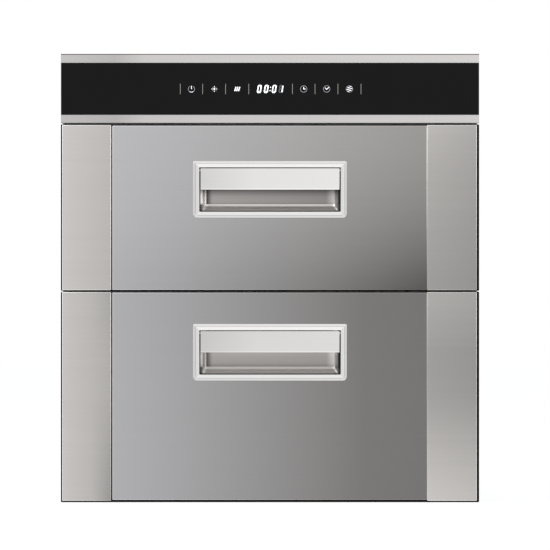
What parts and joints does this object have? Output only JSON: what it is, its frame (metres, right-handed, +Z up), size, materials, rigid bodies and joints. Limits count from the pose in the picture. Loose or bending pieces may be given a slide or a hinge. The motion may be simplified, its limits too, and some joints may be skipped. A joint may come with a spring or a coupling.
{
  "type": "dish sterilizer cabinet",
  "caption": "Built-in dish sterilizer cabinet with stacked pull-out wire-basket drawers, flush flap handles and a touch control strip above.",
  "frame": {"origin": "middle of the whole cabinet at floor level, under the centre of its bounding box", "axes": "+Z up, fronts face -Y, +X to the right seen from the front"},
  "size_m": [0.595, 0.4362, 0.638],
  "materials": {
    "steel_satin": "satin",
    "steel_dark": "satin",
    "pan_black": "satin",
    "steel_inner": "satin",
    "seal_grey": "matte",
    "handle_satin": "satin",
    "pin_steel": "polished",
    "zinc_steel": "satin",
    "runner_zinc": "satin",
    "basket_steel": "polished",
    "glass_black": "gloss",
    "plastic_black": "matte",
    "board_green": "satin",
    "display_face": "gloss",
    "lamp_glass": "gloss",
    "quartz_white": "satin",
    "ceramic_white": "matte",
    "wool_grey": "matte",
    "rubber_black": "matte",
    "plastic_white": "gloss"
  },
  "bodies": {
    "cabinet": {"base_plate": "zinc_steel", "feet": "rubber_black", "side_panels": "zinc_steel", "top_cover": "zinc_steel", "rear_panel": "zinc_steel", "case_screws": "pin_steel", "front_frame": "steel_inner", "upper_liner": "steel_inner", "lower_liner": "steel_inner", "lower_wool": "wool_grey", "control_fascia": "steel_satin", "control_glass": "glass_black", "control_housing": "plastic_black", "display_board": "board_green", "led_display": "display_face", "board_tray": "zinc_steel", "power_board": "board_green", "ozone_generator": "plastic_black", "uv_lamp": "lamp_glass", "lamp_holders": "plastic_white", "quartz_tubes": "quartz_white", "tube_holders": "ceramic_white", "tube_guard": "basket_steel", "blower_housing": "zinc_steel", "blower_motor": "plastic_black", "drying_heater": "handle_satin", "thermostat": "plastic_white", "door_switches": "plastic_black", "cord_gland": "plastic_black", "upper_runner_fixed": "runner_zinc", "lower_runner_fixed": "runner_zinc"},
    "blower_rotor": {"blower_wheel": "plastic_black"},
    "upper_drawer": {"upper_stiles": "steel_satin", "upper_centre_panel": "steel_dark", "upper_door_pan": "pan_black", "upper_inner_panel": "steel_inner", "upper_gasket": "seal_grey", "upper_handle_housing": "handle_satin", "upper_handle_pin": "pin_steel", "upper_handle_spring": "pin_steel", "upper_runner_moving": "runner_zinc", "upper_drawer_arms": "runner_zinc", "upper_basket": "basket_steel"},
    "upper_runner_slider": {"upper_runner_middle": "runner_zinc"},
    "upper_flap": {"upper_handle_flap": "handle_satin"},
    "lower_drawer": {"lower_stiles": "steel_satin", "lower_centre_panel": "steel_dark", "lower_door_pan": "pan_black", "lower_inner_panel": "steel_inner", "lower_gasket": "seal_grey", "lower_handle_housing": "handle_satin", "lower_handle_pin": "pin_steel", "lower_handle_spring": "pin_steel", "lower_runner_moving": "runner_zinc", "lower_drawer_arms": "runner_zinc", "lower_basket": "basket_steel", "lower_plate_rack": "basket_steel"},
    "lower_runner_slider": {"lower_runner_middle": "runner_zinc"},
    "lower_flap": {"lower_handle_flap": "handle_satin"}
  },
  "joints": [
    {"name": "blower_spin", "type": "hinge", "parent": "cabinet", "child": "blower_rotor", "pos_m": [0, 0.1971, 0.405], "axis": [0, 1, 0], "continuous": true},
    {"name": "upper_drawer_slide", "type": "slide", "parent": "cabinet", "child": "upper_drawer", "axis": [0, -1, 0], "range_m": [0, 0.345]},
    {"name": "upper_runner_slide", "type": "slide", "parent": "cabinet", "child": "upper_runner_slider", "axis": [0, -1, 0], "range_m": [0, 0.1725]},
    {"name": "upper_flap_lift", "type": "hinge", "parent": "upper_drawer", "child": "upper_flap", "pos_m": [0, -0.21279, 0.4725], "axis": [-1, 0, 0], "range_deg": [0, 15], "stiffness_Nm_per_rad": 0.06, "springref_deg": -14.32},
    {"name": "lower_drawer_slide", "type": "slide", "parent": "cabinet", "child": "lower_drawer", "axis": [0, -1, 0], "range_m": [0, 0.345]},
    {"name": "lower_runner_slide", "type": "slide", "parent": "cabinet", "child": "lower_runner_slider", "axis": [0, -1, 0], "range_m": [0, 0.1725]},
    {"name": "lower_flap_lift", "type": "hinge", "parent": "lower_drawer", "child": "lower_flap", "pos_m": [0, -0.21279, 0.2409], "axis": [-1, 0, 0], "range_deg": [0, 15], "stiffness_Nm_per_rad": 0.06, "springref_deg": -14.32}
  ],
  "couplings": [
    {"joint": "upper_runner_slide", "follows": "upper_drawer_slide", "ratio": 0.5},
    {"joint": "lower_runner_slide", "follows": "lower_drawer_slide", "ratio": 0.5}
  ]
}
